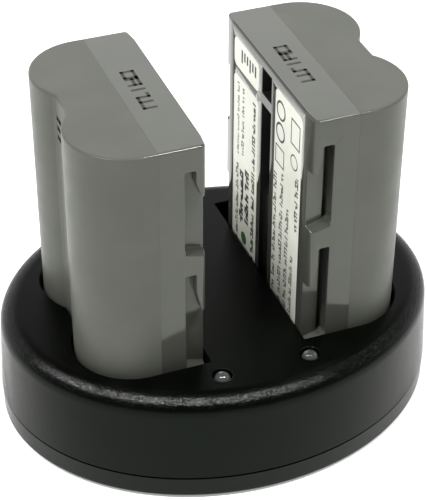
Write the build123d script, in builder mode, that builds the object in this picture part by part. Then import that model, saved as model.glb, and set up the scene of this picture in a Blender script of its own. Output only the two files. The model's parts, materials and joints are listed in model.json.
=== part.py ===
from build123d import *
import math
import os

# Twin-bay desktop charger for camera battery packs, with a pack seated in each bay.
# Sizes are in millimetres. The origin is on the table under the middle of the base.
# +X runs from the left bay to the right bay, +Y to the back wall with the power inlet, +Z up.

# Case: margins from the packs out to the skirt's foot, height from the bottom cover's underside to the deck
end_margin = 10.9
side_margin = 13.8
case_height = 21.1
case_wall = 2.0
deck_thickness = 2.0
deck_round = 3.6
skirt_draft = 3.0
band_height = 4.5
band_inset = 0.1
band_round = 0.5
seam_gap_height = 0.3
seam_gap_depth = 0.8
floor_thickness = 2.0
lip_height = 1.5
lip_thickness = 1.2
fit_clearance = 0.15

# Battery pack: two round lobes behind a flat face, with a valley between the lobes
pack_width = 39.5
pack_height = 56.0
pack_depth = 20.8
pack_spacing = 18.2
lobe_radius = 10.2
valley_depth = 2.4
flat_ease_length = 3.0
flat_ease_depth = 0.4
flat_ease_radius = 8.0
flat_corner_radius = 0.9
pack_edge_round = 0.4
weld_position = 8.4
weld_width = 0.06
weld_depth = 0.03

# Guide rails on a pack's sides: across from the flat face, and down from the top
rail_width = 4.0
rail_depth = 2.0
rail_corner = 0.4
rail_stagger = 0.45
groove_width = 0.9
groove_depth = 3.8
flange_thickness = 2.0
flange_tip = 1.0
ledge_fall = 1.0
ledge_drop = 0.9
ledge_fold = 1.2
ledge_step = 0.3
upper_slot_top = 5.0
upper_taper_top = 7.4
upper_flange_end = 10.35
upper_notch_end = 22.4
lower_slot_top = 25.8
lower_taper_top = 29.4
lower_flange_end = 33.8
lower_notch_end = 46.9

# Key channel down the middle of a pack's flat face
channel_width = 4.2
channel_depth = 1.9
channel_shallow_depth = 0.9
channel_pocket_top = 1.55
channel_pocket_end = 6.65
channel_slot_top = 8.6
channel_slot_end = 26.0
channel_ramp = 2.0

# Labels in shallow recesses beside the channel
label_recess = 0.25
label_thickness = 0.15
label_margin = 0.1
label_corner = 1.3
label_inner = 3.6
label_side_margin = 4.25
label_top = 1.9
label_split_end = 7.9
label_split_start = 9.3
label_bottom_margin = 4.0

# Terminals in slots of a pack's lower end
terminal_pitch = 8.0
terminal_slot_width = 1.8
terminal_slot_start = 1.6
terminal_slot_end = 6.8
terminal_slot_depth = 6.0
terminal_clip = 0.4
terminal_fit = 0.02

# Bays in the top cover
bay_floor_thickness = 1.6
bay_wall = 1.4
bay_centre_y = -0.6
bay_clearance = 0.5
bay_face_clearance = 0.12
bay_corner_radius = 1.0
bay_rim_chamfer = 0.3
relief_width = 4.0
relief_length = 3.6

# Circuit board and the fixed contacts on it
board_height = 4.0
board_thickness = 1.6
board_clearance = 0.45
board_room = 2.3
blade_width = 3.6
blade_thickness = 0.6
blade_rise = 4.0
blade_slot_clearance = 0.25
block_length = 22.0
block_depth = 6.4
block_clearance = 0.2

# Charge lights and the tubes that carry them
light_inset = 0.9
light_diameter = 2.9
light_height = 5.3
light_proud = 0.4
light_flange_diameter = 3.8
light_flange_height = 1.0
light_hole_clearance = 0.25
light_hole_round = 0.3
spacer_diameter = 4.0
spacer_gap = 0.75
lead_pitch = 2.54
lead_size = 0.5
lead_clearance = 0.15
lead_tail = 0.8

# Power inlet in the back wall
jack_width = 9.0
jack_height = 9.0
jack_depth = 12.0
jack_axis_height = 4.7
jack_nose_diameter = 7.4
jack_nose_recess = 0.6
jack_bore_diameter = 5.6
jack_bore_depth = 9.0
jack_pin_diameter = 2.1
jack_pin_tip_recess = 1.0
jack_hole_clearance = 0.3
jack_back_clearance = 0.1

# Parts of the charging circuit
capacitor_diameter = 6.3
capacitor_height = 11.0
capacitor_round = 0.5
capacitor_pitch = 9.0
capacitor_centre_y = -8.0
choke_diameter = 8.0
choke_post_diameter = 4.0
choke_height = 6.0
choke_flange = 1.0
choke_coil_inset = 0.3
choke_fit = 0.05
choke_centre_y = 8.0
chip_length = 5.0
chip_width = 4.0
chip_height = 1.5
chip_stand = 0.1
chip_leg = 0.4
chip_leg_reach = 1.0
chip_leg_height = 0.6
chip_leg_pitch = 1.27
chip_leg_count = 4
chip_gap = 5.5
chip_centre_y = 6.0
small_part_length = 3.2
small_part_width = 1.6
small_part_height = 0.7
small_part_pitch_x = 5.0
small_part_pitch_y = 3.0
small_part_centre_y = -3.5

# Screws and feet in the underside
boss_x = 19.0
boss_diameter = 5.0
pad_diameter = 8.0
board_hole_clearance = 0.5
screw_head_diameter = 4.4
screw_head_height = 1.7
screw_head_clearance = 0.3
screw_shank_diameter = 2.2
screw_shank_clearance = 0.1
screw_length = 8.0
screw_seat_depth = 2.4
screw_slot_width = 0.7
screw_slot_length = 2.6
screw_slot_depth = 0.9
pilot_margin = 1.0
foot_diameter = 8.0
foot_thickness = 1.2
foot_recess = 0.7
foot_clearance = 0.1
foot_round = 0.3
foot_inset = 8.0
foot_angle = 28.0

# Levels
base_z = foot_thickness - foot_recess
seam_z = base_z + band_height
deck_z = base_z + case_height
deck_underside_z = deck_z - deck_thickness
board_z = base_z + board_height
board_top_z = board_z + board_thickness
bay_underside_z = board_top_z + board_room
bay_floor_z = bay_underside_z + bay_floor_thickness
bay_depth = deck_z - bay_floor_z
light_base_z = deck_z + light_proud - light_height
jack_axis_z = board_top_z + jack_axis_height

# Half sizes of the elliptical case, which goes round both packs
half_length = pack_spacing / 2 + pack_depth + end_margin
half_width = pack_width / 2 + side_margin
skirt_shift = (case_height - band_height) * math.tan(math.radians(skirt_draft))
inner_shift = (case_height - band_height - deck_thickness) * math.tan(math.radians(skirt_draft))
lip_half_length = half_length - case_wall - fit_clearance
lip_half_width = half_width - case_wall - fit_clearance

# Places on a pack and in a bay
face_x = pack_spacing / 2
lobe_u = pack_depth - lobe_radius
lobe_y = pack_width / 2 - lobe_radius
valley_u = pack_depth - valley_depth
terminal_u = (terminal_slot_start + terminal_slot_end) / 2
terminal_length = terminal_slot_end - terminal_slot_start
label_outer = pack_width / 2 - label_side_margin
label_end = pack_height - label_bottom_margin
bay_half_width = pack_width / 2 + bay_clearance
bay_back_y = bay_centre_y + bay_half_width
bay_front_y = bay_centre_y - bay_half_width
light_hole_radius = light_diameter / 2 + light_hole_clearance
light_x = face_x - light_inset
light_y = bay_front_y - bay_wall - spacer_gap - spacer_diameter / 2
light_places = [(-light_x, light_y), (light_x, light_y)]

# Bosses stand against the inside of the skirt
boss_reach_x = half_length - skirt_shift - case_wall - boss_diameter / 2
boss_reach_y = half_width - skirt_shift - case_wall - boss_diameter / 2
boss_y = boss_reach_y * math.sqrt(1 - (boss_x / boss_reach_x) ** 2)
boss_places = [(sx * boss_x, sy * boss_y) for sx in (-1, 1) for sy in (-1, 1)]

# Feet follow the outline of the underside
foot_x = (half_length - band_inset - foot_inset) * math.cos(math.radians(foot_angle))
foot_y = (half_width - band_inset - foot_inset) * math.sin(math.radians(foot_angle))
foot_places = [(sx * foot_x, sy * foot_y) for sx in (-1, 1) for sy in (-1, 1)]

# A bay's own frame starts on the pack's flat face, at the bay floor, and looks away from the middle
bay_places = {
    "left": Location((-face_x, bay_centre_y, bay_floor_z), (0, 0, 180)),
    "right": Location((face_x, bay_centre_y, bay_floor_z)),
}
terminal_places = [(terminal_u, step * terminal_pitch, 0) for step in (-1, 0, 1)]

os.makedirs("parts", exist_ok=True)


def save(builder, name):
    builder.part.label = name
    export_step(builder.part, f"parts/{name}.step")


def save_in_bays(builder, name):
    for side, place in bay_places.items():
        with BuildPart() as seated:
            with Locations(place):
                add(builder.part)
        save(seated, name.format(side=side))


def bay_outline(grow):
    """Outline of the right bay in a sketch, larger all round by grow."""
    near_x = face_x - bay_face_clearance - grow
    far_x = face_x + pack_depth + bay_clearance + grow
    with Locations(((near_x + far_x) / 2, bay_centre_y)):
        hollow = Rectangle(far_x - near_x, 2 * (bay_half_width + grow))
    fillet(hollow.vertices().group_by(Axis.X)[-1], lobe_radius + bay_clearance + grow)
    fillet(hollow.vertices().group_by(Axis.X)[0], bay_corner_radius + grow)
    relief_far_y = bay_back_y + relief_length + grow
    with Locations((near_x + relief_width / 2 + grow, (bay_centre_y + relief_far_y) / 2)):
        Rectangle(relief_width + 2 * grow, relief_far_y - bay_centre_y)


# Top cover: drafted skirt, rounded deck, hanging bays and screw bosses
with BuildPart() as top_cover:
    with BuildSketch(Plane.XY.offset(seam_z)):
        Ellipse(half_length, half_width)
    with BuildSketch(Plane.XY.offset(deck_z)):
        Ellipse(half_length - skirt_shift, half_width - skirt_shift)
    loft(ruled=True)
    fillet(top_cover.faces().sort_by(Axis.Z)[-1].edges(), deck_round)
    with BuildSketch(Plane.XY.offset(seam_z)):
        Ellipse(half_length - case_wall, half_width - case_wall)
    with BuildSketch(Plane.XY.offset(deck_underside_z)):
        Ellipse(half_length - case_wall - inner_shift, half_width - case_wall - inner_shift)
    loft(ruled=True, mode=Mode.SUBTRACT)
    with BuildSketch(Plane.XY.offset(board_z)):
        with Locations(*boss_places):
            Circle(boss_diameter / 2)
    extrude(amount=deck_z - deck_thickness / 2 - board_z)
    with BuildSketch(Plane.XY.offset(bay_underside_z)):
        bay_outline(bay_wall)
        mirror(about=Plane.YZ)
    extrude(amount=deck_z - deck_thickness / 2 - bay_underside_z)
    with BuildSketch(Plane.XY.offset(bay_floor_z)):
        bay_outline(0)
        mirror(about=Plane.YZ)
    extrude(amount=bay_depth, mode=Mode.SUBTRACT)
    with BuildSketch(Plane.XY.offset(deck_z)):
        bay_outline(bay_rim_chamfer)
        mirror(about=Plane.YZ)
    extrude(amount=-bay_rim_chamfer, taper=45, mode=Mode.SUBTRACT)
    for place in bay_places.values():
        with Locations(place):
            with Locations(*terminal_places):
                Box(
                    blade_width + 2 * blade_slot_clearance,
                    blade_thickness + 2 * blade_slot_clearance,
                    2 * bay_floor_thickness + bay_rim_chamfer,
                    mode=Mode.SUBTRACT,
                )
    with Locations(*[(x, y, deck_z) for x, y in light_places]):
        Hole(light_hole_radius, 2 * deck_thickness)
    light_rims = top_cover.edges().filter_by(GeomType.CIRCLE).group_by(Axis.Z)[-1]
    light_rims = light_rims.filter_by(lambda rim: math.isclose(rim.radius, light_hole_radius))
    fillet(light_rims, light_hole_round)
    with BuildSketch(Plane.XY.offset(board_z)):
        with Locations(*boss_places):
            Circle((screw_shank_diameter + screw_shank_clearance) / 2)
    extrude(amount=screw_length + pilot_margin, mode=Mode.SUBTRACT)
    with BuildSketch(Plane.XZ.offset(-half_width)):
        with Locations((0, jack_axis_z)):
            Circle(jack_nose_diameter / 2 + jack_hole_clearance)
    extrude(amount=2 * case_wall, mode=Mode.SUBTRACT)
save(top_cover, "top_cover")

# Bottom cover: pan with a shadow gap under the skirt, a locating lip, screw pads and recesses for the feet
with BuildPart() as bottom_cover:
    with BuildSketch(Plane.XY.offset(base_z)):
        Ellipse(half_length - band_inset, half_width - band_inset)
    extrude(amount=band_height)
    fillet(bottom_cover.faces().sort_by(Axis.Z)[0].edges(), band_round)
    with BuildSketch(Plane.XY.offset(seam_z - seam_gap_height)):
        Ellipse(half_length, half_width)
        Ellipse(half_length - seam_gap_depth, half_width - seam_gap_depth, mode=Mode.SUBTRACT)
    extrude(amount=seam_gap_height, mode=Mode.SUBTRACT)
    with BuildSketch(Plane.XY.offset(seam_z)):
        Ellipse(lip_half_length, lip_half_width)
    extrude(amount=lip_height)
    with BuildSketch(Plane.XY.offset(base_z + floor_thickness)):
        Ellipse(lip_half_length - lip_thickness, lip_half_width - lip_thickness)
    extrude(amount=case_height, mode=Mode.SUBTRACT)
    with BuildSketch(Plane.XY.offset(base_z)):
        with Locations(*boss_places):
            Circle(pad_diameter / 2)
    extrude(amount=board_height)
    with BuildSketch(Plane.XY.offset(board_z)):
        with Locations(*boss_places):
            Circle(boss_diameter / 2 + fit_clearance)
    extrude(amount=case_height, mode=Mode.SUBTRACT)
    with Locations(*[Location((x, y, base_z), (180, 0, 0)) for x, y in boss_places]):
        CounterBoreHole(
            radius=(screw_shank_diameter + screw_shank_clearance) / 2,
            counter_bore_radius=(screw_head_diameter + screw_head_clearance) / 2,
            counter_bore_depth=screw_seat_depth,
            depth=board_height,
        )
    with BuildSketch(Plane.XY.offset(base_z)):
        with Locations(*foot_places):
            Circle(foot_diameter / 2 + foot_clearance)
    extrude(amount=foot_recess, mode=Mode.SUBTRACT)
save(bottom_cover, "bottom_cover")

# Screws, head down
with BuildPart() as case_screws:
    with BuildSketch(Plane.XY.offset(base_z + screw_seat_depth - screw_head_height)):
        with Locations(*boss_places):
            Circle(screw_head_diameter / 2)
    extrude(amount=screw_head_height)
    with BuildSketch(Plane.XY.offset(base_z + screw_seat_depth)):
        with Locations(*boss_places):
            Circle(screw_shank_diameter / 2)
    extrude(amount=screw_length)
    with BuildSketch(Plane.XY.offset(base_z + screw_seat_depth - screw_head_height)):
        with Locations(*boss_places):
            Rectangle(screw_slot_length, screw_slot_width)
            Rectangle(screw_slot_width, screw_slot_length)
    extrude(amount=screw_slot_depth, mode=Mode.SUBTRACT)
save(case_screws, "case_screws")

# Feet, standing proud of the underside
with BuildPart() as rubber_feet:
    with BuildSketch():
        with Locations(*foot_places):
            Circle(foot_diameter / 2)
    extrude(amount=foot_thickness)
    fillet(rubber_feet.faces().filter_by(Axis.Z).group_by(Axis.Z)[0].edges(), foot_round)
save(rubber_feet, "rubber_feet")

# Circuit board, notched round the bosses and drilled for the lights' leads
lead_places = [(x + step * lead_pitch / 2, y) for x, y in light_places for step in (-1, 1)]
with BuildPart() as circuit_board:
    with BuildSketch(Plane.XY.offset(board_z)):
        Ellipse(
            lip_half_length - lip_thickness - board_clearance,
            lip_half_width - lip_thickness - board_clearance,
        )
        with Locations(*boss_places):
            Circle(boss_diameter / 2 + board_hole_clearance, mode=Mode.SUBTRACT)
        with Locations(*lead_places):
            Circle(lead_size / math.sqrt(2) + lead_clearance, mode=Mode.SUBTRACT)
    extrude(amount=board_thickness)
save(circuit_board, "circuit_board")

# Contact blades, made once in a bay's frame, which starts at the bay floor
blade_foot = board_top_z - bay_floor_z
with BuildPart() as contact_blades:
    with BuildSketch(Plane.XY.offset(blade_foot)):
        with Locations(*terminal_places):
            Rectangle(blade_width, blade_thickness)
    extrude(amount=blade_rise - blade_foot)
    blade_tips = contact_blades.faces().filter_by(Axis.Z).group_by(Axis.Z)[-1]
    chamfer(blade_tips.edges().filter_by(Axis.X), blade_thickness / 4)
save_in_bays(contact_blades, "contact_blades_{side}")

# Contact block, the insulator that the blades stand in
with BuildPart() as contact_block:
    with BuildSketch(Plane.XY.offset(blade_foot)):
        with Locations((terminal_u, 0)):
            RectangleRounded(block_depth, block_length, block_clearance)
        with Locations(*terminal_places):
            Rectangle(
                blade_width + 2 * fit_clearance,
                blade_thickness + 2 * fit_clearance,
                mode=Mode.SUBTRACT,
            )
    extrude(amount=bay_underside_z - block_clearance - board_top_z)
save_in_bays(contact_block, "contact_block_{side}")

# Charge light: flanged body with a round dome
with BuildPart() as charge_light:
    with BuildSketch(Plane.XZ):
        with BuildLine():
            shoulder = light_height - light_diameter / 2
            body = Polyline(
                (0, 0),
                (light_flange_diameter / 2, 0),
                (light_flange_diameter / 2, light_flange_height),
                (light_diameter / 2, light_flange_height),
                (light_diameter / 2, shoulder),
            )
            dome = RadiusArc(body @ 1, (0, light_height), -light_diameter / 2)
            Line(dome @ 1, (0, 0))
        make_face()
    revolve(axis=Axis.Z)

# Tube between the board and a light, with a bore for each lead
with BuildPart() as light_spacer:
    with BuildSketch():
        Circle(spacer_diameter / 2)
        with Locations((-lead_pitch / 2, 0), (lead_pitch / 2, 0)):
            Circle(lead_size / math.sqrt(2) + lead_clearance, mode=Mode.SUBTRACT)
    extrude(amount=light_base_z - board_top_z)

for side, (x, y) in zip(bay_places, light_places):
    with BuildPart() as led:
        with Locations((x, y, light_base_z)):
            add(charge_light.part)
    save(led, f"led_{side}")
    with BuildPart() as led_spacer:
        with Locations((x, y, board_top_z)):
            add(light_spacer.part)
    save(led_spacer, f"led_spacer_{side}")

# Leads from the lights, through the tubes and the board
with BuildPart() as led_leads:
    with BuildSketch(Plane.XY.offset(board_z - lead_tail)):
        with Locations(*lead_places):
            Rectangle(lead_size, lead_size)
    extrude(amount=light_base_z - board_z + lead_tail)
save(led_leads, "led_leads")

# Power jack: square body on the board with a round nose in the back wall
jack_front_y = lip_half_width - lip_thickness - board_clearance - jack_back_clearance
jack_wall_shift = (jack_axis_z - seam_z) * math.tan(math.radians(skirt_draft))
jack_nose_y = half_width - jack_wall_shift - jack_nose_recess
with BuildPart() as power_jack:
    with BuildSketch(Plane.XY.offset(board_top_z)):
        with Locations((0, jack_front_y - jack_depth / 2)):
            Rectangle(jack_width, jack_depth)
    extrude(amount=jack_height)
    with BuildSketch(Plane.XZ.offset(-jack_nose_y)):
        with Locations((0, jack_axis_z)):
            Circle(jack_nose_diameter / 2)
    extrude(amount=jack_nose_y - jack_front_y)
    with BuildSketch(Plane.XZ.offset(-jack_nose_y)):
        with Locations((0, jack_axis_z)):
            Circle(jack_bore_diameter / 2)
    extrude(amount=jack_bore_depth, mode=Mode.SUBTRACT)
save(power_jack, "power_jack")

# Centre pin at the bottom of the jack's bore
with BuildPart() as power_jack_pin:
    with BuildSketch(Plane.XZ.offset(-jack_nose_y + jack_pin_tip_recess)):
        with Locations((0, jack_axis_z)):
            Circle(jack_pin_diameter / 2)
    extrude(amount=jack_bore_depth - jack_pin_tip_recess)
    fillet(power_jack_pin.faces().sort_by(Axis.Y)[-1].edges(), jack_pin_diameter / 4)
save(power_jack_pin, "power_jack_pin")

# Smoothing capacitors between the bays
with BuildPart() as smoothing_capacitors:
    with BuildSketch(Plane.XY.offset(board_top_z)):
        with Locations((0, capacitor_centre_y)):
            with GridLocations(0, capacitor_pitch, 1, 2):
                Circle(capacitor_diameter / 2)
    extrude(amount=capacitor_height)
    can_tops = smoothing_capacitors.faces().filter_by(Axis.Z).group_by(Axis.Z)[-1]
    fillet(can_tops.edges(), capacitor_round)
save(smoothing_capacitors, "smoothing_capacitors")

# Choke: a drum core and the winding between its flanges
with BuildPart() as choke_core:
    with Locations((0, choke_centre_y, board_top_z)):
        Cylinder(choke_diameter / 2, choke_height, align=(Align.CENTER, Align.CENTER, Align.MIN))
    with BuildSketch(Plane.XY.offset(board_top_z + choke_flange)):
        with Locations((0, choke_centre_y)):
            Circle(choke_diameter / 2)
            Circle(choke_post_diameter / 2, mode=Mode.SUBTRACT)
    extrude(amount=choke_height - 2 * choke_flange, mode=Mode.SUBTRACT)
save(choke_core, "choke_core")

with BuildPart() as choke_coil:
    with BuildSketch(Plane.XY.offset(board_top_z + choke_flange + choke_fit)):
        with Locations((0, choke_centre_y)):
            Circle(choke_diameter / 2 - choke_coil_inset)
            Circle(choke_post_diameter / 2 + choke_fit, mode=Mode.SUBTRACT)
    extrude(amount=choke_height - 2 * choke_flange - 2 * choke_fit)
save(choke_coil, "choke_coil")

# Charge controller chips, one under each bay beside the contact block, with legs down to the board
chip_centre_x = face_x + terminal_u + block_depth / 2 + chip_gap
chip_places = [(-chip_centre_x, chip_centre_y), (chip_centre_x, chip_centre_y)]
with BuildPart() as charge_chips:
    with BuildSketch(Plane.XY.offset(board_top_z + chip_stand)):
        with Locations(*chip_places):
            Rectangle(chip_width, chip_length)
    extrude(amount=chip_height)
    with BuildSketch(Plane.XY.offset(board_top_z)):
        with Locations(*chip_places):
            with GridLocations(0, chip_leg_pitch, 1, chip_leg_count):
                Rectangle(chip_width + 2 * chip_leg_reach, chip_leg)
    extrude(amount=chip_leg_height)
save(charge_chips, "charge_chips")

# Resistors and diodes beside the chips
with BuildPart() as chip_parts:
    with BuildSketch(Plane.XY.offset(board_top_z)):
        with Locations((-chip_centre_x, small_part_centre_y), (chip_centre_x, small_part_centre_y)):
            with GridLocations(small_part_pitch_x, small_part_pitch_y, 2, 3):
                Rectangle(small_part_length, small_part_width)
    extrude(amount=small_part_height)
save(chip_parts, "chip_parts")


def rail_outline(slot_top, taper_top, flange_end, notch_end):
    """Side view of one rail cut: a slot behind a flange, open to a notch that ends on a sloping ledge."""
    outside = -flange_thickness
    corners = [
        (flange_thickness, slot_top),
        (rail_width, slot_top),
        (rail_width, notch_end - ledge_fall),
        (outside, notch_end - ledge_fall * outside / rail_width),
        (outside, flange_end),
        (flange_tip, flange_end),
        (flange_thickness, taper_top),
    ]
    cut = Polygon(*[(u, pack_height - down) for u, down in corners], align=None)
    fillet(cut.vertices().group_by(Axis.Y)[-1], rail_corner)


def ledge_section():
    """What a ledge loses: a slope down to the outside, and a low strip along the rail's floor."""
    fold_level = ledge_drop * ledge_fold / rail_depth
    corners = [
        (0, 0),
        (ledge_fold, fold_level),
        (ledge_fold, fold_level - ledge_step),
        (rail_depth, ledge_drop - ledge_step),
        (rail_depth, 2 * ledge_drop),
        (0, 2 * ledge_drop),
    ]
    Polygon(*corners, align=None)


def rail_cutter(hand, lift):
    """What both rails take out of one side of the pack."""
    outside = -flange_thickness
    along_ledge = Vector(rail_width, 0, ledge_fall)
    groove_start = rail_width - groove_width
    plan = [
        (outside, 0),
        (rail_width, 0),
        (rail_width, groove_depth),
        (groove_start, groove_depth),
        (groove_start, rail_depth),
        (outside, rail_depth),
    ]
    with BuildPart() as cutter:
        with BuildSketch(Plane.XZ.offset(hand * pack_width / 2)):
            with Locations((0, lift)):
                rail_outline(upper_slot_top, upper_taper_top, upper_flange_end, upper_notch_end - ledge_drop)
                rail_outline(lower_slot_top, lower_taper_top, lower_flange_end, lower_notch_end - ledge_drop)
        extrude(amount=-hand * groove_depth)
        for notch_end in (upper_notch_end, lower_notch_end):
            edge = Vector(0, -hand * pack_width / 2, pack_height - notch_end + lift)
            edge += along_ledge * (outside / rail_width)
            with BuildSketch(Plane(edge, x_dir=(0, hand, 0), z_dir=along_ledge * hand)):
                ledge_section()
            extrude(amount=hand * along_ledge.length * (rail_width - outside) / rail_width)
        with BuildSketch():
            Polygon(*[(u, hand * (depth - pack_width / 2)) for u, depth in plan], align=None)
        extrude(amount=pack_height, mode=Mode.INTERSECT)
    return cutter.part


def label_outline(near_y, far_y, top, end, margin):
    """One label's place on the flat face, drawn smaller all round by margin."""
    middle = ((near_y + far_y) / 2, pack_height - (top + end) / 2)
    with Locations(middle):
        RectangleRounded(abs(far_y - near_y) - 2 * margin, end - top - 2 * margin, label_corner)


label_places = {
    "label_top": (label_inner, label_outer, label_top, label_split_end),
    "label_back": (label_inner, label_outer, label_split_start, label_end),
    "label_front": (-label_inner, -label_outer, label_top, label_end),
}

# Battery pack, made once with its flat face on X = 0 and its lower end on Z = 0
with BuildPart() as pack:
    with BuildSketch() as pack_outline:
        with Locations((lobe_u / 2, 0)):
            Rectangle(lobe_u, pack_width)
        with Locations((lobe_u, lobe_y), (lobe_u, -lobe_y)):
            Circle(lobe_radius)
        with Locations((valley_u / 2, 0)):
            Rectangle(valley_u, 2 * lobe_y)
        with Locations((-lobe_radius / 2, 0)):
            Rectangle(lobe_radius, pack_width, mode=Mode.SUBTRACT)
        for hand in (-1, 1):
            Polygon(
                (0, hand * (pack_width / 2 - flat_ease_length)),
                (0, hand * pack_width / 2),
                (flat_ease_depth, hand * pack_width / 2),
                align=None,
                mode=Mode.SUBTRACT,
            )
        fillet(pack_outline.vertices().group_by(Axis.X)[1], flat_corner_radius)
        fillet(pack_outline.vertices().group_by(Axis.X)[0], flat_ease_radius)
    extrude(amount=pack_height)
    fillet(pack.faces().filter_by(Axis.Z).edges(), pack_edge_round)
    with BuildSketch(Plane.YZ.offset(weld_position)):
        with Locations((0, pack_height / 2)):
            Rectangle(pack_width + rail_depth, pack_height + rail_depth)
            Rectangle(pack_width - 2 * weld_depth, pack_height - 2 * weld_depth, mode=Mode.SUBTRACT)
    extrude(amount=weld_width, mode=Mode.SUBTRACT)
    for hand, lift in ((1, 0), (-1, rail_stagger)):
        add(rail_cutter(hand, lift), mode=Mode.SUBTRACT)
    with BuildSketch(Plane.YZ):
        for place in label_places.values():
            label_outline(*place, margin=0)
    extrude(amount=label_recess, mode=Mode.SUBTRACT)
    with BuildSketch(Plane.XZ):
        Polygon(
            (0, pack_height - channel_pocket_top),
            (channel_depth, pack_height - channel_pocket_top),
            (channel_depth, pack_height - channel_pocket_end),
            (0, pack_height - channel_pocket_end),
            align=None,
        )
        Polygon(
            (0, pack_height - channel_slot_top),
            (channel_depth, pack_height - channel_slot_top),
            (channel_depth, pack_height - channel_slot_end),
            (channel_shallow_depth, pack_height - channel_slot_end - channel_ramp),
            (channel_shallow_depth, 0),
            (0, 0),
            align=None,
        )
    extrude(amount=channel_width / 2, both=True, mode=Mode.SUBTRACT)
    with BuildSketch():
        with Locations(*terminal_places):
            Rectangle(terminal_length, terminal_slot_width)
    extrude(amount=terminal_slot_depth, mode=Mode.SUBTRACT)
save_in_bays(pack, "battery_{side}")

# Labels, lying on the floors of their recesses
for label_name, place in label_places.items():
    with BuildPart() as label:
        with BuildSketch(Plane.YZ.offset(label_recess)):
            label_outline(*place, margin=label_margin)
        extrude(amount=-label_thickness)
    save_in_bays(label, "battery_{side}_" + label_name)

# Terminal clips: an end plate and one cheek in each slot
with BuildPart() as terminals:
    with BuildSketch(Plane.XY.offset(terminal_slot_depth - terminal_clip)):
        with Locations(*terminal_places):
            Rectangle(terminal_length - 2 * terminal_fit, terminal_slot_width - 2 * terminal_fit)
    extrude(amount=terminal_clip)
    cheek_shift = (terminal_slot_width - terminal_clip) / 2 - terminal_fit
    with BuildSketch(Plane.XY.offset(bay_rim_chamfer)):
        with Locations(*[(u, y + cheek_shift) for u, y, _ in terminal_places]):
            Rectangle(terminal_length - 2 * terminal_fit, terminal_clip)
    extrude(amount=terminal_slot_depth - terminal_clip - bay_rim_chamfer)
save_in_bays(terminals, "battery_{side}_terminals")
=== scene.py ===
import json
import math
import random

import bmesh
import bpy
from mathutils import Matrix, Vector


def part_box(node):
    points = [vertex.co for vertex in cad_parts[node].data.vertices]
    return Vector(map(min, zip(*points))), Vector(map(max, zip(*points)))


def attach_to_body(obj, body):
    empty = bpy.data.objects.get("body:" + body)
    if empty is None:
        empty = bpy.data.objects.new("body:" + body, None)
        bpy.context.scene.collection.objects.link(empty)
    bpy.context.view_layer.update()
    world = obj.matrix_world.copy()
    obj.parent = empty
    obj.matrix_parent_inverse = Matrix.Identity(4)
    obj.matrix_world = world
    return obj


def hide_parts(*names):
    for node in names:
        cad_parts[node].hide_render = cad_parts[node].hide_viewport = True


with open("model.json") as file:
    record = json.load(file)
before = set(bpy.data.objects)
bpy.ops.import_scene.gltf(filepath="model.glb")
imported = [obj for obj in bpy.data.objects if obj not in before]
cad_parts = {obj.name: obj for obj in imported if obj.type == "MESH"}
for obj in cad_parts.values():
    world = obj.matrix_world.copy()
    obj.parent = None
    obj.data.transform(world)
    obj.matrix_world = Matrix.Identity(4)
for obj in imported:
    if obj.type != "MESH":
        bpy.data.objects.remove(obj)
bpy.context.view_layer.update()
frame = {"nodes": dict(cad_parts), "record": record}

# Twin-bay camera battery charger with two seated packs: finishes, print, lights and camera.
# Lengths are in metres; MM turns a value in millimetres into metres.
MM = 0.001
SIDES = ("left", "right")

# Camera, at the photograph's viewing angle
PHOTO_LONG_SIDE = 500
PHOTO_FOCAL = 1654.3
PHOTO_CENTRE_RIGHT = 2.6
PHOTO_CENTRE_DOWN = 4.2
CAMERA_AZIMUTH = math.radians(-21.07)
CAMERA_ELEVATION = math.radians(36.73)
CAMERA_ROLL = math.radians(0.29)
CAMERA_PLACE = Vector((-86.8, -225.7, 208.3)) * MM
CAMERA_NEAR = 10 * MM
SENSOR = 36.0

# Surroundings: sines of the heights between which the white walls fade, and how strongly they glow
SKYLINE_LOW = 0.572
SKYLINE_HIGH = 0.597
WALL_LIGHT = 2.1
CEILING = 0.03
# The walls are brightest towards BRIGHT_WAY, and fall to FRONT_SHARE on the other side
BRIGHT_WAY = (0.15, 1.0, 0.0)
BRIGHT_LOW = -0.4
BRIGHT_HIGH = 0.85
FRONT_SHARE = 0.15

# Floor and lamps, in metres and watts
FLOOR_HALF = 1.5
FLOOR_GLOW = 0.3
LAMP_SIZE = 0.16
LAMP_AIM = (0, 0, 0.03)
LAMPS = {
    "overhead_left": ((-0.4, -0.13, 0.78), 6.8),
    "overhead_right": ((0.25, -0.32, 0.78), 5.6),
}

# Sizes of what is added to the solids
EDGE_ROUND = 0.14 * MM
EDGE_SEGMENTS = 2
EDGE_ANGLE = math.radians(35)
FLAT_ANGLE = math.radians(0.1)
WELD_DISTANCE = 0.001 * MM
INK_HEIGHT = 0.012 * MM
DECK_REACH = 2.3 * MM


def link(piece):
    bpy.context.scene.collection.objects.link(piece)
    return piece


def attach(piece):
    """The piece is fixed to the object."""
    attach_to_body(piece, "root")


# Materials

# Ranges of noise that mottled colour and varied gloss are stretched from
MOTTLE_LOW = 0.35
MOTTLE_HIGH = 0.65
GLOSS_LOW = 0.3
GLOSS_HIGH = 0.7
CASE_GRAIN = 0.22
CASE_GRAIN_DEPTH = 0.05

# Rounded edge of the case: coat, strength of grain and roughness at some tilts, from upright to level
GLITTER_COAT = ((0.0, 0.0), (0.64, 0.0), (0.735, 0.95), (0.84, 0.95), (0.915, 0.0))
GLITTER_STRENGTH = ((0.0, 0.0), (0.45, 0.1), (0.6, 1.0), (0.9, 1.0), (0.98, 0.1))
GLITTER_GLOSS = ((0.0, 0.14), (0.5, 0.16), (0.85, 0.22), (0.97, 0.26))
GLITTER_COAT_GLOSS = 0.05
GLITTER_GRAIN = 0.3
GLITTER_DEPTH = 0.18
# The coat comes in towards GLITTER_WAY, between two distances in millimetres
GLITTER_WAY = (-0.42, -0.91, 0.0)
GLITTER_FROM = 22.8
GLITTER_FULL = 28.8


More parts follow.
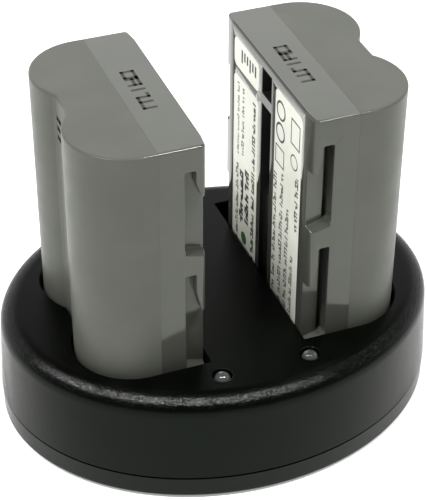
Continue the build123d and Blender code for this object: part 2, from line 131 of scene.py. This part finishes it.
def new_material(name, settings):
    """A Principled material with its constant values on the shader's own sockets."""
    material = bpy.data.materials.new(name)
    material.use_nodes = True
    shader = material.node_tree.nodes["Principled BSDF"]
    for socket, value in settings.items():
        shader.inputs[socket].default_value = value
    return material


def noise(material, grain_mm, detail=2.0):
    """Noise with spots of about grain_mm, in the object's own frame."""
    nodes = material.node_tree.nodes
    place = nodes.new("ShaderNodeTexCoord")
    texture = nodes.new("ShaderNodeTexNoise")
    texture.inputs["Scale"].default_value = 1 / (grain_mm * MM)
    texture.inputs["Detail"].default_value = detail
    material.node_tree.links.new(place.outputs["Object"], texture.inputs["Vector"])
    return texture.outputs["Fac"]


def mottle(material, grain_mm, dark, light):
    """Base colour that wanders between two tones."""
    tree = material.node_tree
    ramp = tree.nodes.new("ShaderNodeValToRGB")
    ramp.color_ramp.elements[0].position = MOTTLE_LOW
    ramp.color_ramp.elements[0].color = (*dark, 1)
    ramp.color_ramp.elements[1].position = MOTTLE_HIGH
    ramp.color_ramp.elements[1].color = (*light, 1)
    tree.links.new(noise(material, grain_mm), ramp.inputs["Fac"])
    tree.links.new(ramp.outputs["Color"], tree.nodes["Principled BSDF"].inputs["Base Color"])


def span(tree, value, from_low, from_high, to_low, to_high):
    """The value carried over from one range to another."""
    node = tree.nodes.new("ShaderNodeMapRange")
    node.inputs["From Min"].default_value = from_low
    node.inputs["From Max"].default_value = from_high
    node.inputs["To Min"].default_value = to_low
    node.inputs["To Max"].default_value = to_high
    tree.links.new(value, node.inputs["Value"])
    return node.outputs["Result"]


def reach_along(tree, vector, way):
    """How far a vector goes in one direction."""
    node = tree.nodes.new("ShaderNodeVectorMath")
    node.operation = "DOT_PRODUCT"
    node.inputs[1].default_value = way
    tree.links.new(vector, node.inputs[0])
    return node.outputs["Value"]


def product(tree, first, second):
    node = tree.nodes.new("ShaderNodeMath")
    node.operation = "MULTIPLY"
    tree.links.new(first, node.inputs[0])
    tree.links.new(second, node.inputs[1])
    return node.outputs["Value"]


def vary_gloss(material, grain_mm, low, high):
    """Roughness that wanders between two values."""
    tree = material.node_tree
    gloss = span(tree, noise(material, grain_mm), GLOSS_LOW, GLOSS_HIGH, low, high)
    tree.links.new(gloss, tree.nodes["Principled BSDF"].inputs["Roughness"])


def grain(material, grain_mm, depth_mm, strength, detail=2.0):
    """Bump from noise, laid over any bump that the material already has."""
    tree = material.node_tree
    normal = tree.nodes["Principled BSDF"].inputs["Normal"]
    bump = tree.nodes.new("ShaderNodeBump")
    bump.inputs["Strength"].default_value = strength
    bump.inputs["Distance"].default_value = depth_mm * MM
    tree.links.new(noise(material, grain_mm, detail), bump.inputs["Height"])
    if normal.is_linked:
        tree.links.new(normal.links[0].from_socket, bump.inputs["Normal"])
    tree.links.new(bump.outputs["Normal"], normal)


def case_plastic(name, shine, low=0.12, high=0.16):
    """Black plastic with a fine spark-eroded grain."""
    material = new_material(
        name, {"Specular IOR Level": shine, "Specular Tint": (0.82, 1.0, 0.82, 1)}
    )
    mottle(material, 6.0, (0.0007, 0.0009, 0.0007), (0.0013, 0.0016, 0.0013))
    vary_gloss(material, 2.0, low, high)
    grain(material, CASE_GRAIN, CASE_GRAIN_DEPTH, 1.0)
    return material


def by_tilt(material, stops):
    """A value that follows how far the surface faces upwards."""
    tree = material.node_tree
    place = tree.nodes.new("ShaderNodeTexCoord")
    axes = tree.nodes.new("ShaderNodeSeparateXYZ")
    tree.links.new(place.outputs["Normal"], axes.inputs["Vector"])
    ramp = tree.nodes.new("ShaderNodeValToRGB")
    elements = ramp.color_ramp.elements
    while len(elements) < len(stops):
        elements.new(1)
    for element, (upright, value) in zip(elements, stops):
        element.position = upright
        element.color = (value, value, value, 1)
    tree.links.new(axes.outputs["Z"], ramp.inputs["Fac"])
    return ramp.outputs["Color"]


def glitter_plastic(name, shine):
    """Black plastic whose grain is coarse and bright on the rounded front edge."""
    material = case_plastic(name, shine)
    tree = material.node_tree
    shader = tree.nodes["Principled BSDF"]
    shader.inputs["Coat Roughness"].default_value = GLITTER_COAT_GLOSS
    tree.links.new(by_tilt(material, GLITTER_GLOSS), shader.inputs["Roughness"])
    grain(material, GLITTER_GRAIN, GLITTER_DEPTH, 1.0, 0.0)
    bump = shader.inputs["Normal"].links[0].from_node
    tree.links.new(by_tilt(material, GLITTER_STRENGTH), bump.inputs["Strength"])
    tree.links.new(bump.outputs["Normal"], shader.inputs["Coat Normal"])
    place = tree.nodes.new("ShaderNodeTexCoord")
    towards = reach_along(tree, place.outputs["Object"], GLITTER_WAY)
    front = span(tree, towards, GLITTER_FROM * MM, GLITTER_FULL * MM, 0, 1)
    coat = product(tree, by_tilt(material, GLITTER_COAT), front)
    tree.links.new(coat, shader.inputs["Coat Weight"])
    return material


def pack_plastic(name, shine, dark, light, low, high):
    """Warm grey plastic with faint mould texture, in the finish of one mould half."""
    material = new_material(
        name, {"Specular IOR Level": shine, "Specular Tint": (0.97, 1.0, 0.9, 1)}
    )
    mottle(material, 9.0, dark, light)
    vary_gloss(material, 4.0, low, high)
    grain(material, 0.18, 0.01, 0.06)
    return material


def label_film():
    """Off-white matt film."""
    material = new_material("label_white", {"Specular IOR Level": 0.4})
    mottle(material, 5.0, (0.78, 0.79, 0.71), (0.83, 0.84, 0.76))
    vary_gloss(material, 2.5, 0.42, 0.52)
    grain(material, 0.25, 0.004, 0.15)
    return material


def ink(name, dark, light, shine=0.35):
    material = new_material(name, {"Specular IOR Level": shine})
    mottle(material, 0.4, dark, light)
    vary_gloss(material, 0.5, 0.45, 0.6)
    return material


def light_resin():
    """Clear resin of a charge light, slightly milky."""
    material = new_material("light_clear", {"IOR": 1.53, "Transmission Weight": 0.9})
    mottle(material, 1.2, (0.42, 0.44, 0.43), (0.5, 0.52, 0.51))
    vary_gloss(material, 0.8, 0.02, 0.04)
    return material


def metal(name, dark, light, low, high):
    material = new_material(name, {"Metallic": 1.0})
    mottle(material, 1.5, dark, light)
    vary_gloss(material, 0.6, low, high)
    return material


def moulding(name, dark, light, low, high, grain_mm=0.3):
    """Plain moulded plastic, lacquer or rubber."""
    material = new_material(name, {"Specular IOR Level": 0.4})
    mottle(material, 2.5, dark, light)
    vary_gloss(material, 1.0, low, high)
    grain(material, grain_mm, 0.01, 0.25)
    return material


MATERIALS = {
    "case_black": case_plastic("case_black", 0.094),
    "pack_grey": pack_plastic(
        "pack_grey", 0.22, (0.074, 0.077, 0.066), (0.081, 0.084, 0.072), 0.34, 0.42
    ),
    "label_white": label_film(),
    "light_clear": light_resin(),
    "board_green": moulding("board_green", (0.012, 0.085, 0.035), (0.018, 0.11, 0.045), 0.3, 0.4),
    "insulator_black": moulding(
        "insulator_black", (0.008, 0.008, 0.009), (0.014, 0.014, 0.015), 0.4, 0.55
    ),
    "contact_metal": metal("contact_metal", (0.68, 0.55, 0.28), (0.8, 0.66, 0.36), 0.18, 0.3),
    "lead_metal": metal("lead_metal", (0.6, 0.6, 0.58), (0.72, 0.72, 0.7), 0.25, 0.4),
    "can_aluminium": metal("can_aluminium", (0.66, 0.67, 0.68), (0.78, 0.79, 0.8), 0.28, 0.42),
    "ferrite": moulding("ferrite", (0.02, 0.02, 0.022), (0.035, 0.035, 0.037), 0.5, 0.7),
    "winding_copper": metal("winding_copper", (0.6, 0.25, 0.1), (0.72, 0.33, 0.14), 0.25, 0.4),
    "screw_steel": metal("screw_steel", (0.42, 0.42, 0.43), (0.56, 0.56, 0.57), 0.3, 0.45),
    "foot_rubber": moulding("foot_rubber", (0.012, 0.012, 0.012), (0.02, 0.02, 0.02), 0.7, 0.85, 0.4),
}
# Glossier finish of the flat mould half, which is its own; its base colour, darker than pack_grey, is
# painted shade that deepens the dark reflection on the half's front faces.
PACK_GLOSS_PAINTED_SHADE = pack_plastic(
    "pack_grey_gloss_painted_shade", 0.46, (0.05, 0.052, 0.045), (0.055, 0.057, 0.049), 0.06, 0.11
)
DECK_BLACK = glitter_plastic("case_black_deck", 0.06)
BAND_BLACK = case_plastic("case_black_band", 0.13)
SEAM_BLACK = case_plastic("case_black_seam", 0.0, 0.7, 0.8)
CHANNEL_BLACK = moulding("channel_black", (0.006, 0.007, 0.006), (0.01, 0.012, 0.01), 0.3, 0.4)
PRINT_INK = ink("print_ink", (0.012, 0.013, 0.012), (0.03, 0.032, 0.03))
CODE_INK = ink("code_ink", (0.014, 0.014, 0.013), (0.035, 0.035, 0.032))
WEB_INK = ink("web_ink", (0.008, 0.008, 0.007), (0.016, 0.016, 0.014), 0.0)
GREEN_INK = ink("green_ink", (0.015, 0.09, 0.02), (0.03, 0.15, 0.035))


def finish_cad_nodes():
    """Each CAD node takes the material of its slot in the record."""
    for row in frame["record"]["subparts"]:
        for place in frame["nodes"][row["node"]].material_slots:
            place.material = MATERIALS[row["material_slot"]]


def finish_above(mesh, lower, upper, level):
    """Faces wholly above a level take the upper finish, and the others the lower one."""
    mesh.materials.clear()
    for material in (lower, upper):
        mesh.materials.append(material)
    for face in mesh.polygons:
        lowest = min(mesh.vertices[index].co.z for index in face.vertices)
        face.material_index = 1 if lowest > level else 0


def polish_deck():
    """Top cover whose deck and round edge differ in finish from its skirt."""
    mesh = frame["nodes"]["top_cover"].data.copy()
    cover = link(bpy.data.objects.new("top_cover_shell", mesh))
    deck_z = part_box("top_cover")[1].z
    finish_above(mesh, MATERIALS["case_black"], DECK_BLACK, deck_z - DECK_REACH)
    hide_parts("top_cover")
    attach(cover)


# Seam between the covers, a groove in the bottom cover, in millimetres
BAND_HEIGHT = 4.5
SEAM_GAP = 0.3
SEAM_SPREAD = 0.15
SEAM_NEAR = 0.02


def darken_seam():
    """Bottom cover whose seam groove is matt and a little taller, so that it reads as a dark line."""
    mesh = frame["nodes"]["bottom_cover"].data.copy()
    pan = link(bpy.data.objects.new("bottom_cover_shell", mesh))
    ledge_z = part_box("bottom_cover")[0].z + (BAND_HEIGHT - SEAM_GAP) * MM
    finish_above(mesh, BAND_BLACK, SEAM_BLACK, ledge_z - SEAM_NEAR * MM)
    for vertex in mesh.vertices:
        if abs(vertex.co.z - ledge_z) < SEAM_NEAR * MM:
            vertex.co.z -= SEAM_SPREAD * MM
    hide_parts("bottom_cover")
    attach(pan)


# Places on a pack: out from the flat face, along the face from its middle, and down from the top

class Pack:
    def __init__(self, side):
        low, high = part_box(f"battery_{side}")
        self.side = side
        self.hand = 1 if side == "right" else -1
        self.face_x = low.x if side == "right" else high.x
        self.middle_y = (low.y + high.y) / 2
        self.top_z = high.z
        self.depth = high.x - low.x
        self.half_width = (high.y - low.y) / 2

    def point(self, out, along, down):
        return Vector((
            self.face_x + self.hand * out * MM,
            self.middle_y + self.hand * along * MM,
            self.top_z - down * MM,
        ))

    def local(self, point):
        """Out, along and down of a point, in millimetres."""
        return (
            self.hand * (point.x - self.face_x) / MM,
            self.hand * (point.y - self.middle_y) / MM,
            (self.top_z - point.z) / MM,
        )


PACKS = {side: Pack(side) for side in SIDES}

# Rails, end groove, key channel and weld line of a pack, in millimetres
RAIL_INNER = 15.8
RAIL_REACH = 4.1
SLOT_DEPTH = 2.0
GROOVE_NEAR = 3.0
GROOVE_INNER = 15.0
GROOVE_END = 52.0
CHANNEL_HALF = 2.2
CHANNEL_REACH = 2.0
CHANNEL_MOUTH = 0.16
WELD_REACH = 8.45


def soften_shell(pack):
    """Pack shell with rounded edges on its rails and channel, and no groove in its second end."""
    node = f"battery_{pack.side}"
    mesh = frame["nodes"][node].data.copy()
    shell = link(bpy.data.objects.new(f"{node}_shell", mesh))
    body = bmesh.new()
    body.from_mesh(mesh)
    bmesh.ops.remove_doubles(body, verts=body.verts, dist=WELD_DISTANCE)
    bmesh.ops.dissolve_limit(
        body, angle_limit=FLAT_ANGLE, verts=body.verts, edges=body.edges
    )
    floor_along = pack.half_width / MM - SLOT_DEPTH
    for vertex in body.verts:
        out, along, down = pack.local(vertex.co)
        in_groove = GROOVE_NEAR < out < RAIL_REACH and GROOVE_INNER < along < floor_along
        if in_groove and down < GROOVE_END:
            vertex.co = pack.point(out, floor_along, down)
    bmesh.ops.dissolve_degenerate(body, dist=WELD_DISTANCE, edges=body.edges)
    sharp = []
    for edge in body.edges:
        if len(edge.link_faces) != 2 or edge.calc_face_angle() < EDGE_ANGLE:
            continue
        ends = [pack.local(vertex.co) for vertex in edge.verts]
        on_rail = all(abs(along) > RAIL_INNER and out < RAIL_REACH for out, along, _ in ends)
        in_channel = all(
            abs(along) < CHANNEL_HALF and out < CHANNEL_REACH for out, along, _ in ends
        )
        if on_rail or in_channel:
            sharp.append(edge)
    bmesh.ops.bevel(
        body, geom=sharp, offset=EDGE_ROUND, offset_type="OFFSET", segments=EDGE_SEGMENTS,
        profile=0.5, affect="EDGES", clamp_overlap=True,
    )
    bmesh.ops.triangulate(body, faces=[face for face in body.faces if len(face.verts) > 4])
    body.to_mesh(mesh)
    body.free()
    mesh.shade_smooth()
    mesh.set_sharp_from_angle(angle=EDGE_ANGLE)
    weigh = shell.modifiers.new("weigh_normals", "WEIGHTED_NORMAL")
    weigh.keep_sharp = True
    mesh.materials.clear()
    for material in (MATERIALS["pack_grey"], PACK_GLOSS_PAINTED_SHADE, CHANNEL_BLACK):
        mesh.materials.append(material)
    # The flat half up to the weld takes the glossy copy, whose darker base colour is painted shade.
    for face in mesh.polygons:
        out, along, _ = pack.local(face.center)
        in_channel = abs(along) < CHANNEL_HALF and CHANNEL_MOUTH < out < CHANNEL_REACH
        face.material_index = 2 if in_channel else 1 if out < WELD_REACH else 0
    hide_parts(node)
    attach(shell)


# Deck between the lobes of a pack, which the bay's mouth follows, in millimetres
LOBE_RADIUS = 10.2
BAY_CLEARANCE = 0.5
VALLEY_DEPTH = 2.4
RIB_DEPTH = 6.0
RIB_OVERLAP = 0.4
RIB_RISE = 0.01
RIB_STEPS = 24


def fill_valley(pack):
    """Web of the deck that stands in the valley between the two lobes of a seated pack."""
    lobe_out = pack.depth / MM - LOBE_RADIUS
    lobe_along = pack.half_width / MM - LOBE_RADIUS
    reach = LOBE_RADIUS + BAY_CLEARANCE
    last = math.acos((LOBE_RADIUS - VALLEY_DEPTH + BAY_CLEARANCE) / reach)
    curve = []
    for step in range(RIB_STEPS + 1):
        turn = last * step / RIB_STEPS
        curve.append((lobe_out + reach * math.cos(turn), lobe_along - reach * math.sin(turn)))
    back = pack.depth / MM + BAY_CLEARANCE + RIB_OVERLAP
    outline = [(back, -lobe_along), (back, lobe_along)] + curve
    outline += [(out, -along) for out, along in reversed(curve)]
    deck_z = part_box("top_cover")[1].z
    top_down = (pack.top_z - deck_z) / MM - RIB_RISE
    body = bmesh.new()
    corners = [body.verts.new(pack.point(out, along, top_down)) for out, along in outline]
    head = body.faces.new(corners)
    lower = bmesh.ops.extrude_face_region(body, geom=[head])["geom"]
    moved = [item for item in lower if isinstance(item, bmesh.types.BMVert)]
    bmesh.ops.translate(body, vec=Vector((0, 0, -RIB_DEPTH * MM)), verts=moved)
    bmesh.ops.recalc_face_normals(body, faces=body.faces)
    mesh = bpy.data.meshes.new(f"bay_web_{pack.side}")
    body.to_mesh(mesh)
    body.free()
    mesh.materials.append(DECK_BLACK)
    attach(link(bpy.data.objects.new(mesh.name, mesh)))


# Flat marks: each one is a list of four-cornered tiles in two directions of a surface

def bar(a0, b0, a1, b1):
    return [[(a0, b0), (a1, b0), (a1, b1), (a0, b1)]]


def ring(a, b, radius, stroke, steps=40):
    tiles = []
    inner = radius - stroke
    for step in range(steps):
        turn = [2 * math.pi * (step + k) / steps for k in (0, 1)]
        outside = [(a + radius * math.cos(t), b + radius * math.sin(t)) for t in turn]
        inside = [(a + inner * math.cos(t), b + inner * math.sin(t)) for t in reversed(turn)]
        tiles.append(outside + inside)
    return tiles


def frame_box(a0, b0, a1, b1, stroke):
    return (
        bar(a0, b0, a1, b0 + stroke)
        + bar(a0, b1 - stroke, a1, b1)
        + bar(a0, b0 + stroke, a0 + stroke, b1 - stroke)
        + bar(a1 - stroke, b0 + stroke, a1, b1 - stroke)
    )


# Small print: strokes in a group, and shares of the row's height or of the stroke's width
GROUP_LEAST = 2
GROUP_MOST = 8
STROKE_HEIGHTS = (0.6, 0.6, 0.7, 0.95, 1.0)
HEAD_CHANCE = 0.55
HEAD_END = 2.2
FOOT_CHANCE = 0.45
FOOT_END = 2.4
STROKE_STEP = (0.46, 0.62)
GROUP_GAP = 0.45


def small_print(draw, along, start, end, height, weight):
    """A row of groups of upright strokes, running down from start to end."""
    tiles = []
    down = start
    stroke = weight * height
    while down < end - height:
        for _ in range(draw.randint(GROUP_LEAST, GROUP_MOST)):
            tall = draw.choice(STROKE_HEIGHTS) * height
            head = along + tall
            tiles += bar(along, down, head, down + stroke)
            if draw.random() < HEAD_CHANCE:
                tiles += bar(head - stroke, down + stroke, head, down + HEAD_END * stroke)
            if draw.random() < FOOT_CHANCE:
                tiles += bar(along, down + stroke, along + stroke, down + FOOT_END * stroke)
            down += height * draw.uniform(*STROKE_STEP)
            if down > end - stroke:
                break
        down += height * GROUP_GAP
    return tiles


def lay_marks(name, tiles, place, material):
    """One thin closed mesh of all the tiles, standing on a surface."""
    body = bmesh.new()
    for tile in tiles:
        foot = [body.verts.new(place(a, b, 0)) for a, b in tile]
        head = [body.verts.new(place(a, b, INK_HEIGHT / MM)) for a, b in tile]
        body.faces.new(head)
        body.faces.new(foot[::-1])
        for k in range(len(tile)):
            after = (k + 1) % len(tile)
            body.faces.new((foot[k], foot[after], head[after], head[k]))
    bmesh.ops.recalc_face_normals(body, faces=body.faces)
    mesh = bpy.data.meshes.new(name)
    body.to_mesh(mesh)
    body.free()
    mesh.materials.append(material)
    piece = link(bpy.data.objects.new(name, mesh))
    attach(piece)


# Labels: seed of the print, and depth of the film's surface in its recess
PRINT_SEED = 11
LABEL_SURFACE = 0.1

# Rows of small print: along the face from its middle, from, to, height, weight
FRONT_ROWS = [
    (-5.2, 19.0, 51.2, 1.35, 0.22),
    (-8.1, 17.6, 51.2, 1.35, 0.22),
    (-10.8, 23.3, 51.2, 1.35, 0.22),
    (-13.1, 31.9, 51.2, 1.35, 0.22),
    (-14.4, 14.7, 25.9, 1.35, 0.24),
]
BACK_ROWS = [
    (12.7, 10.7, 26.5, 1.0, 0.2),
    (10.3, 10.8, 25.2, 1.2, 0.22),
    (5.0, 11.0, 25.0, 1.4, 0.28),
    (12.7, 28.0, 51.2, 1.25, 0.24),
    (10.2, 28.6, 40.3, 1.9, 0.34),
    (7.6, 27.2, 39.0, 1.9, 0.34),
    (5.0, 25.8, 51.2, 1.4, 0.28),
]
# Rings: along, down, radius, stroke. Boxes: along and down of two corners, stroke
FRONT_RINGS = [
    (-6.2, 5.6, 1.9, 0.42),
    (-6.2, 9.9, 1.9, 0.42),
    (-12.3, 12.3, 1.5, 0.26),
]
FRONT_BOXES = [
    (-14.4, 4.2, -10.6, 9.2, 0.28),
    (-8.1, 12.9, -4.3, 16.6, 0.26),
]
GREEN_DOT = (9.6, 43.0, 1.3, 1.25)
# Bars on the upper label: where they start along and down, their pitch, width and heights
TOP_START = 12.0
TOP_DOWN = 3.4
TOP_PITCH = 1.25
TOP_WIDTH = 0.62
TOP_HEIGHTS = (2.6, 1.8, 1.8, 2.6, 1.8, 2.2)


def print_labels(pack):
    draw = random.Random(PRINT_SEED)

    def place(along, down, lift):
        return pack.point(LABEL_SURFACE - lift, along, down)

    front = [tile for row in FRONT_ROWS for tile in small_print(draw, *row)]
    for mark in FRONT_RINGS:
        front += ring(*mark)
    for mark in FRONT_BOXES:
        front += frame_box(*mark)
    back = [tile for row in BACK_ROWS for tile in small_print(draw, *row)]
    lay_marks(f"battery_{pack.side}_print_front", front, place, PRINT_INK)
    lay_marks(f"battery_{pack.side}_print_back", back, place, PRINT_INK)
    dot = ring(*GREEN_DOT)
    lay_marks(f"battery_{pack.side}_print_dot", dot, place, GREEN_INK)
    top = []
    for step, tall in enumerate(TOP_HEIGHTS):
        start = TOP_START - TOP_PITCH * step
        top += bar(start - TOP_WIDTH, TOP_DOWN, start, TOP_DOWN + tall)
    lay_marks(f"battery_{pack.side}_print_top", top, place, PRINT_INK)


# Code on a pack's upper end: five block marks, each one strokes in shares of its cell
CODE_CELLS = [
    [(0, 0, 1, 0), (1, 0, 1, 1), (1, 1, 0, 1), (0, 1, 0, 0)],
    [(0, 1, 0, 0), (0, 0, 1, 0), (1, 0, 1, 1), (0, 0.5, 1, 0.5)],
    [(0.5, 0, 0.5, 1)],
    [(0, 0, 0.5, 0), (0.5, 0, 0.5, 1), (0.5, 1, 1, 1)],
    [(0, 0, 0, 1), (0, 1, 1, 1), (1, 1, 1, 0)],
]
CODE_START = 5.0
CODE_PITCH = 2.55
CODE_WIDTH = 2.0
CODE_NEAR = 3.45
CODE_FAR = 5.4
CODE_STROKE = 0.58
CODE_SHIFT = {"left": (0.5, 1.2), "right": (0.0, 0.0)}


def print_code(pack):
    half = CODE_STROKE / 2
    tiles = []
    for cell, strokes in enumerate(CODE_CELLS):
        start = CODE_START - cell * CODE_PITCH
        for a0, b0, a1, b1 in strokes:
            ends = sorted((start - a * CODE_WIDTH for a in (a0, a1)))
            sides = sorted((CODE_NEAR + b * (CODE_FAR - CODE_NEAR) for b in (b0, b1)))
            tiles += bar(sides[0] - half, ends[0] - half, sides[1] + half, ends[1] + half)

    aside, back = CODE_SHIFT[pack.side]

    def place(out, along, lift):
        return pack.point(out + aside, pack.hand * (along + back), -lift)

    lay_marks(f"battery_{pack.side}_code", tiles, place, CODE_INK)


# Marks on the web between a pack's lobes: rows of broken bars, down from the top and along the web
WEB_ROWS = (3.65, 5.5, 7.35)
WEB_HEIGHT = 0.9
WEB_BLOCKS = ((-2.8, -1.9), (-1.75, -0.5), (-0.3, 0.9), (1.1, 2.6))


def print_web(pack):
    web_out = pack.depth / MM - VALLEY_DEPTH

    def place(along, down, lift):
        return pack.point(web_out + lift, along, down)

    tiles = []
    for down in WEB_ROWS:
        for near, far in WEB_BLOCKS:
            tiles += bar(near, down, far, down + WEB_HEIGHT)
    lay_marks(f"battery_{pack.side}_web_code", tiles, place, WEB_INK)


# Stage

def make_floor():
    mesh = bpy.data.meshes.new("floor")
    corners = [(x * FLOOR_HALF, y * FLOOR_HALF, 0) for x, y in ((-1, -1), (1, -1), (1, 1), (-1, 1))]
    mesh.from_pydata(corners, [], [(0, 1, 2, 3)])
    mesh.materials.append(new_material("floor_pale", {
        "Base Color": (0.9, 0.9, 0.89, 1),
        "Roughness": 0.7,
        "Emission Color": (1, 1, 1, 1),
        "Emission Strength": FLOOR_GLOW,
    }))
    link(bpy.data.objects.new("floor", mesh))


def make_lights():
    for name, (place, power) in LAMPS.items():
        data = bpy.data.lights.new(name, "AREA")
        data.size = LAMP_SIZE
        data.energy = power
        lamp = link(bpy.data.objects.new(name, data))
        lamp.location = place
        aim = Vector(LAMP_AIM) - Vector(place)
        lamp.rotation_euler = aim.to_track_quat("-Z", "Y").to_euler()
    bpy.context.scene.view_settings.view_transform = "Standard"


def make_surroundings():
    """White studio walls up to the skyline, dimmer in front, under a dark ceiling."""
    world = bpy.data.worlds.new("studio")
    bpy.context.scene.world = world
    world.use_nodes = True
    tree = world.node_tree
    place = tree.nodes.new("ShaderNodeTexCoord")
    axes = tree.nodes.new("ShaderNodeSeparateXYZ")
    tree.links.new(place.outputs["Generated"], axes.inputs["Vector"])
    height = span(tree, axes.outputs["Z"], SKYLINE_LOW, SKYLINE_HIGH, 1, 0)
    towards = reach_along(tree, place.outputs["Generated"], BRIGHT_WAY)
    front = span(tree, towards, BRIGHT_LOW, BRIGHT_HIGH, FRONT_SHARE, 1)
    strength = span(tree, product(tree, height, front), 0, 1, CEILING, WALL_LIGHT)
    background = tree.nodes["Background"]
    background.inputs["Color"].default_value = (1, 1, 1, 1)
    tree.links.new(strength, background.inputs["Strength"])


def make_camera():
    data = bpy.data.cameras.new("camera")
    data.sensor_width = SENSOR
    data.lens = SENSOR * PHOTO_FOCAL / PHOTO_LONG_SIDE
    data.shift_x = -PHOTO_CENTRE_RIGHT / PHOTO_LONG_SIDE
    data.shift_y = PHOTO_CENTRE_DOWN / PHOTO_LONG_SIDE
    data.clip_start = CAMERA_NEAR
    camera = link(bpy.data.objects.new("camera", data))
    turn = Matrix.Rotation(CAMERA_AZIMUTH, 4, "Z")
    tilt = Matrix.Rotation(math.pi / 2 - CAMERA_ELEVATION, 4, "X")
    roll = Matrix.Rotation(CAMERA_ROLL, 4, "Z")
    camera.matrix_world = Matrix.Translation(CAMERA_PLACE) @ turn @ tilt @ roll
    bpy.context.scene.camera = camera


finish_cad_nodes()
polish_deck()
darken_seam()
for side in SIDES:
    soften_shell(PACKS[side])
    fill_valley(PACKS[side])
    print_labels(PACKS[side])
    print_code(PACKS[side])
print_web(PACKS["left"])
make_floor()
make_lights()
make_surroundings()
make_camera()
